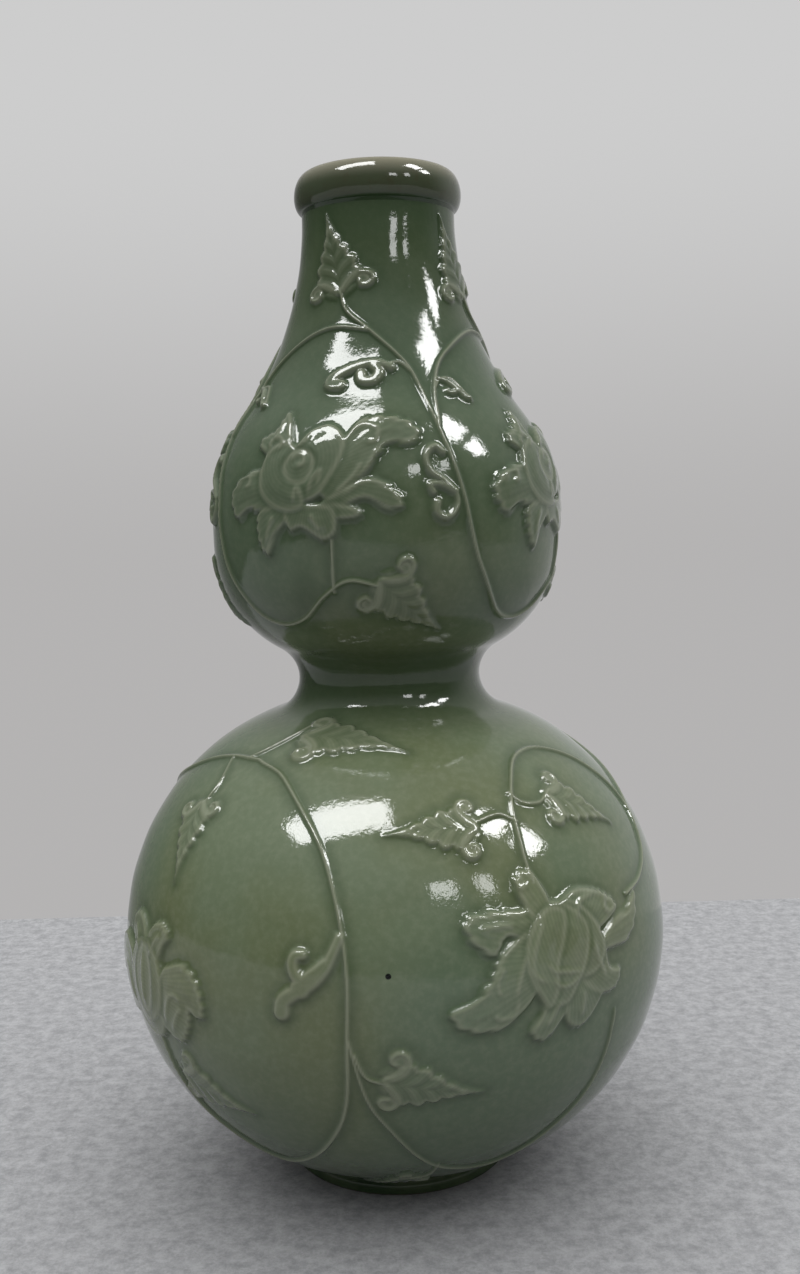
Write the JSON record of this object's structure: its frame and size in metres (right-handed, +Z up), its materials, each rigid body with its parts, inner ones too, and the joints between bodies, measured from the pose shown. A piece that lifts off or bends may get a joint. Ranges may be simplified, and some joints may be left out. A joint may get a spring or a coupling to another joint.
{
  "type": "double gourd vase",
  "caption": "Hollow double gourd vase with a waisted body, tall neck, rolled lip, low foot ring and applied flower scroll in low relief.",
  "frame": {"origin": "centre of the foot ring, on the plane that the vase stands on", "axes": "+Z up along the vase's axis, the pictured side faces -Y, +X to the viewer's right"},
  "size_m": [0.186, 0.1886, 0.3381],
  "materials": {
    "body_glaze": "glossy grey-green celadon glaze over pale clay",
    "relief_glaze": "the same glaze, thinner and paler on raised edges",
    "rim_glaze": "glossy glaze gone olive brown where it runs thin",
    "foot_glaze": "glossy glaze down to a wiped, matt clay foot edge"
  },
  "bodies": {
    "root": {"foot_ring": "foot_glaze", "lower_bowl": "body_glaze", "lower_shoulder": "body_glaze", "upper_bowl": "body_glaze", "neck_and_shoulder": "body_glaze", "mouth_rim": "rim_glaze", "bud_leaf_1": "relief_glaze", "bud_leaf_2": "relief_glaze", "drop_leaf_1": "relief_glaze", "drop_leaf_2": "relief_glaze", "fan_flower_1": "relief_glaze", "fan_flower_2": "relief_glaze", "foot_leaf_1": "relief_glaze", "foot_leaf_2": "relief_glaze", "hanging_flower_1": "relief_glaze", "hanging_flower_2": "relief_glaze", "hanging_vine_1": "relief_glaze", "hanging_vine_2": "relief_glaze", "left_leaf_1": "relief_glaze", "left_leaf_2": "relief_glaze", "neck_leaf_1": "relief_glaze", "neck_leaf_2": "relief_glaze", "neck_leaf_3": "relief_glaze", "neck_leaf_4": "relief_glaze", "right_leaf_1": "relief_glaze", "right_leaf_2": "relief_glaze", "rising_vine_1": "relief_glaze", "rising_vine_2": "relief_glaze", "shoulder_leaf_1": "relief_glaze", "shoulder_leaf_2": "relief_glaze", "shoulder_vine_1": "relief_glaze", "shoulder_vine_2": "relief_glaze", "side_leaf_1": "relief_glaze", "side_leaf_2": "relief_glaze", "upper_branch_1": "relief_glaze", "upper_branch_2": "relief_glaze", "upper_branch_3": "relief_glaze", "upper_branch_4": "relief_glaze", "upper_flower_1": "relief_glaze", "upper_flower_2": "relief_glaze", "upper_flower_3": "relief_glaze", "upper_flower_4": "relief_glaze", "upper_hook_leaf_1": "relief_glaze", "upper_hook_leaf_2": "relief_glaze", "upper_hook_leaf_3": "relief_glaze", "upper_hook_leaf_4": "relief_glaze", "upper_scroll_leaf_1": "relief_glaze", "upper_scroll_leaf_2": "relief_glaze", "upper_scroll_leaf_3": "relief_glaze", "upper_scroll_leaf_4": "relief_glaze", "upper_small_leaf_1": "relief_glaze", "upper_small_leaf_2": "relief_glaze", "upper_small_leaf_3": "relief_glaze", "upper_small_leaf_4": "relief_glaze", "upper_vine_1": "relief_glaze", "upper_vine_2": "relief_glaze", "upper_vine_3": "relief_glaze", "upper_vine_4": "relief_glaze"}
  },
  "joints": []
}
